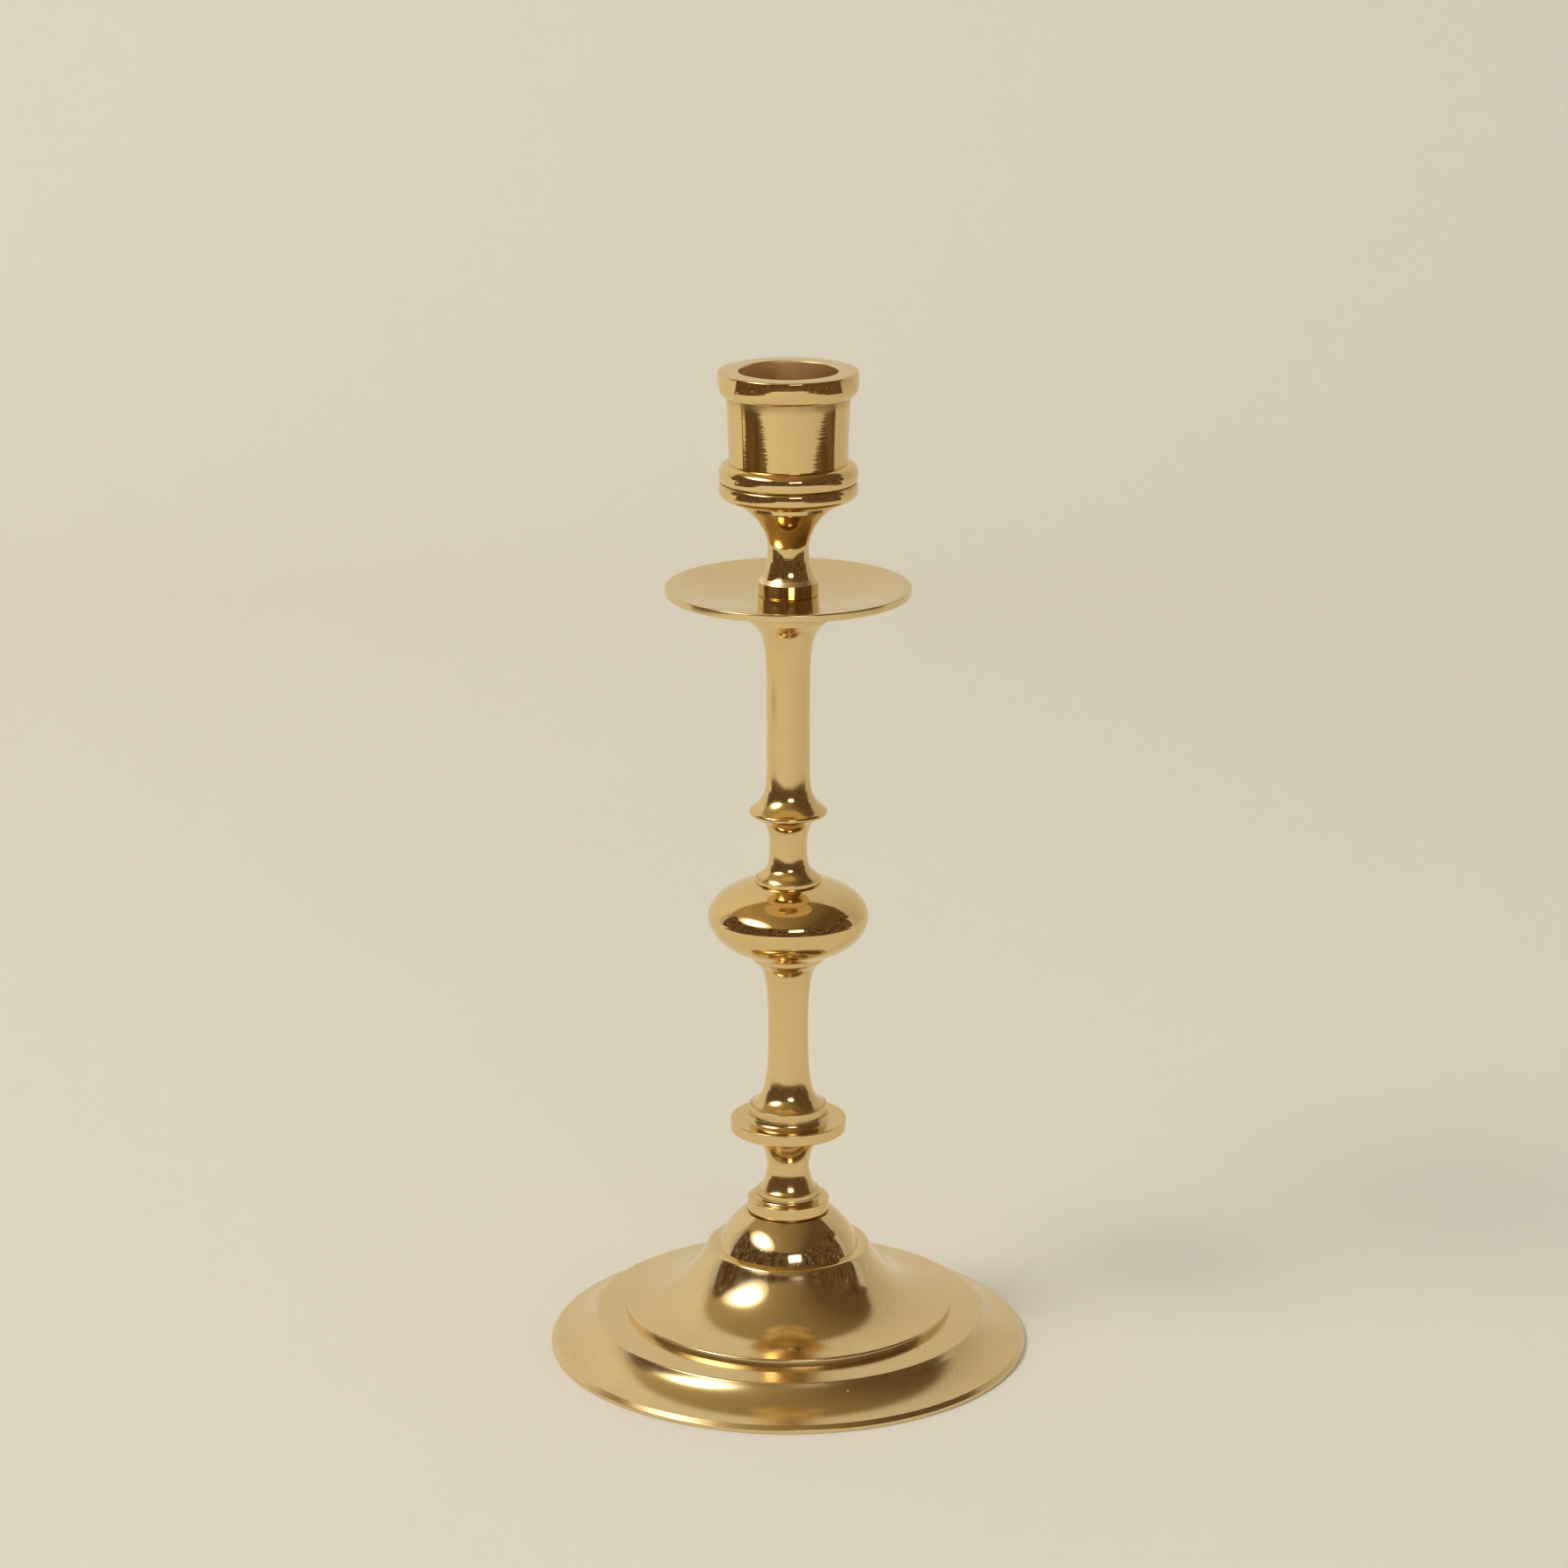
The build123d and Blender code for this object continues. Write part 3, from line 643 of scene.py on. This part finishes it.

# The dim room that the brass mirrors: dark floor round the pale table, a round wall and a ceiling. They are
# glowing sheets, and their brightness is painted light.
STRIP_LEFT, STRIP_RIGHT, STRIP_FRONT, STRIP_BACK = -0.60, 0.72, -1.9, 0.12
STRIP_FAR = 6.0
ABOVE_FLOOR = 2.0 * MM
ROOM_RADIUS, ROOM_HEIGHT = 4.6, 3.7
WALL_LEFT, WALL_RIGHT, WALL_STEPS = radians(-106), radians(102), 60
CEILING_HALF = 7.0
ROOM_FLOOR, ROOM_FLOOR_STREAKS = (0.10, 0.06, 0.03), (0.19, 0.11, 0.05)
ROOM_WALL, ROOM_WALL_STREAKS = (0.05, 0.032, 0.018), (0.20, 0.125, 0.07)
ROOM_SPOTS = (0.9, 0.7, 0.45)
STREAK_SCALES, SPOTS = (4.0, 4.0, 1.6), 2.1      # features to the metre
CEILING_LIT, CEILING_DARK = (0.42, 0.31, 0.15), (0.13, 0.085, 0.04)
CEILING_FADE = (-2.0, 2.5)   # painted light, from bright on the left to dark on the right

# The key is a soft-edged panel: ever larger and fainter layers (name, width, height, watts).
KEY_LAYERS = (("key_core", 1.15, 0.62, 17.0), ("key_body", 1.6, 0.85, 15.0),
              ("key_edge", 2.1, 1.05, 11.0), ("key_haze", 2.9, 1.3, 7.0))
KEY_PLACE, KEY_COLOUR = (-62, 44), (1.0, 0.97, 0.91)
FILL_PLACE, FILL_COLOUR = (12, 28), (1.0, 0.97, 0.92)
FILL_WIDTH, FILL_HEIGHT, FILL_POWER = 1.05, 0.50, 9.0
LAMP_DISTANCE = 3.2
SKY_COLOUR, SKY_STRENGTH = (1.0, 0.965, 0.90), 0.53


def staged(name, vertices, faces, material, only_reflected=False):
    """A piece of the studio. only_reflected pieces are seen in the metal and nowhere else."""
    mesh = bpy.data.meshes.new(name)
    mesh.from_pydata(vertices, [], faces)
    mesh.polygons.foreach_set("use_smooth", [True] * len(faces))
    mesh.materials.append(material)
    thing = bpy.data.objects.new(name, mesh)
    bpy.context.scene.collection.objects.link(thing)
    if only_reflected:
        thing.visible_camera = False
        thing.visible_diffuse = False
        thing.visible_shadow = False
        thing.visible_transmission = False
        thing.visible_volume_scatter = False


def paper():
    """Pale matt paper, clear from behind and under the base, so that the underside is lit and seen."""
    n = Nodes("paper")
    pale = n.add("ShaderNodeBsdfDiffuse", {"Color": (*FLOOR, 1.0)})
    clear = n.add("ShaderNodeBsdfTransparent")
    behind = n.add("ShaderNodeNewGeometry").outputs["Backfacing"]
    under = n.math("LESS_THAN", n.polar()[0], UNDER_BASE_R)
    inputs = {0: n.math("MAXIMUM", behind, under), 1: pale.outputs[0], 2: clear.outputs[0]}
    n.surface(n.add("ShaderNodeMixShader", inputs))
    return n.material


def dim_room(name, colour, streak_colour):
    """A glowing surface whose faint brightness is painted light, with the upright streaks and small glowing
    spots for the lights of a dim room.
    """
    n = Nodes(name)
    tall = n.add("ShaderNodeVectorMath", {0: n.place, 1: STREAK_SCALES}, operation="MULTIPLY")
    streaks = n.noise(tall.outputs[0], 1.0, detail=3.0, roughness=0.6)
    shade = n.mix(n.ramp(streaks, 0.42, 0.60), colour, streak_colour)
    spots = n.ramp(n.cells(SPOTS).outputs["Distance"], 0.10, 0.14, 1.0, 0.0)
    n.surface(n.add("ShaderNodeEmission", {"Color": n.mix(spots, shade, ROOM_SPOTS)}))
    return n.material


def painted_light_ceiling():
    """A glowing ceiling sheet with painted light: bright at the left, fading to the right."""
    n = Nodes("ceiling")
    x = n.add("ShaderNodeSeparateXYZ", {0: n.place}).outputs[0]
    shade = n.mix(n.ramp(x, *CEILING_FADE), CEILING_LIT, CEILING_DARK)
    n.surface(n.add("ShaderNodeEmission", {"Color": shade}))
    return n.material


def sweep():
    """Floor and backdrop as one sheet of paper with a curved turn."""
    profile = [(FLOOR_FRONT, 0.0)]
    for number in range(SWEEP_STEPS + 1):
        angle = pi / 2 * number / SWEEP_STEPS
        y = BACKDROP_Y - SWEEP_RADIUS + SWEEP_RADIUS * sin(angle)
        profile.append((y, SWEEP_RADIUS - SWEEP_RADIUS * cos(angle)))
    profile.append((BACKDROP_Y, BACKDROP_HEIGHT))
    vertices = [(side * BACKDROP_HALF, y, z) for y, z in profile for side in (-1, 1)]
    faces = [(2 * i, 2 * i + 1, 2 * i + 3, 2 * i + 2) for i in range(len(profile) - 1)]
    staged("sweep", vertices, faces, paper())


def mirrored_sheet(name, across, along, height, material, looks_up=True):
    """A level sheet seen only in the metal. across is its (left, right) and along its (front, back)."""
    corners = [(across[i], along[j], height) for i, j in ((0, 0), (1, 0), (1, 1), (0, 1))]
    staged(name, corners, [(0, 1, 2, 3) if looks_up else (3, 2, 1, 0)], material, only_reflected=True)


def room():
    """The dim room in front: seen in the brass past the edges of the pale table, with its ceiling."""
    dark = dim_room("room_floor", ROOM_FLOOR, ROOM_FLOOR_STREAKS)
    depth = (-STRIP_FAR, STRIP_BACK)
    mirrored_sheet("room_left", (-STRIP_FAR, STRIP_LEFT), depth, ABOVE_FLOOR, dark)
    mirrored_sheet("room_right", (STRIP_RIGHT, STRIP_FAR), depth, ABOVE_FLOOR, dark)
    mirrored_sheet("room_front", (STRIP_LEFT, STRIP_RIGHT), (-STRIP_FAR, STRIP_FRONT), ABOVE_FLOOR, dark)
    wall, faces = [], []
    for number in range(WALL_STEPS + 1):
        angle = WALL_LEFT + (WALL_RIGHT - WALL_LEFT) * number / WALL_STEPS
        spot = (ROOM_RADIUS * sin(angle), -ROOM_RADIUS * cos(angle))
        wall += [(*spot, 0.0), (*spot, ROOM_HEIGHT)]
        if number:
            faces.append((2 * number - 2, 2 * number, 2 * number + 1, 2 * number - 1))
    lit = dim_room("room_wall", ROOM_WALL, ROOM_WALL_STREAKS)
    staged("room_wall", wall, faces, lit, only_reflected=True)
    half = (-CEILING_HALF, CEILING_HALF)
    mirrored_sheet("ceiling", half, half, ROOM_HEIGHT, painted_light_ceiling(), looks_up=False)


def softbox(name, place, shape, width, height, power, colour):
    """An area light that looks at the middle of the object.

    place is (azimuth, elevation) in degrees. Azimuth 0 is in front, positive to the right.
    """
    azimuth, elevation = (radians(angle) for angle in place)
    towards = Vector((sin(azimuth) * cos(elevation), -cos(azimuth) * cos(elevation), sin(elevation)))
    target = Vector((0, 0, (cad_low.z + cad_high.z) / 2))
    light = bpy.data.lights.new(name, "AREA")
    light.shape = shape
    light.size, light.size_y = width, height
    light.energy = power
    light.color = colour
    lamp = bpy.data.objects.new(name, light)
    bpy.context.scene.collection.objects.link(lamp)
    turn = towards.to_track_quat("Z", "Y").to_matrix().to_4x4()
    lamp.matrix_world = Matrix.Translation(target + towards * LAMP_DISTANCE) @ turn


sweep()
room()
for layer, width, height, power in KEY_LAYERS:
    softbox(layer, KEY_PLACE, "ELLIPSE", width, height, power, KEY_COLOUR)
softbox("fill", FILL_PLACE, "RECTANGLE", FILL_WIDTH, FILL_HEIGHT, FILL_POWER, FILL_COLOUR)

world = bpy.data.worlds.new("studio")
bpy.context.scene.world = world
world.use_nodes = True
sky = world.node_tree.nodes["Background"]
sky.inputs["Color"].default_value = (*SKY_COLOUR, 1.0)
sky.inputs["Strength"].default_value = SKY_STRENGTH

# ---------------------------------------------------------------- camera
CAMERA_X, CAMERA_BACK, CAMERA_UP = -1.0 * MM, 1031.4 * MM, 436.0 * MM
CAMERA_PITCH = radians(16.12)
LENS, SENSOR = 106.63, 36.0

camera_data = bpy.data.cameras.new("camera")
camera_data.sensor_width = SENSOR
camera_data.lens = LENS
camera = bpy.data.objects.new("camera", camera_data)
bpy.context.scene.collection.objects.link(camera)
camera.location = (CAMERA_X, -CAMERA_BACK, CAMERA_UP)
camera.rotation_euler = (pi / 2 - CAMERA_PITCH, 0, 0)
bpy.context.scene.camera = camera
bpy.context.scene.view_settings.view_transform = "Standard"
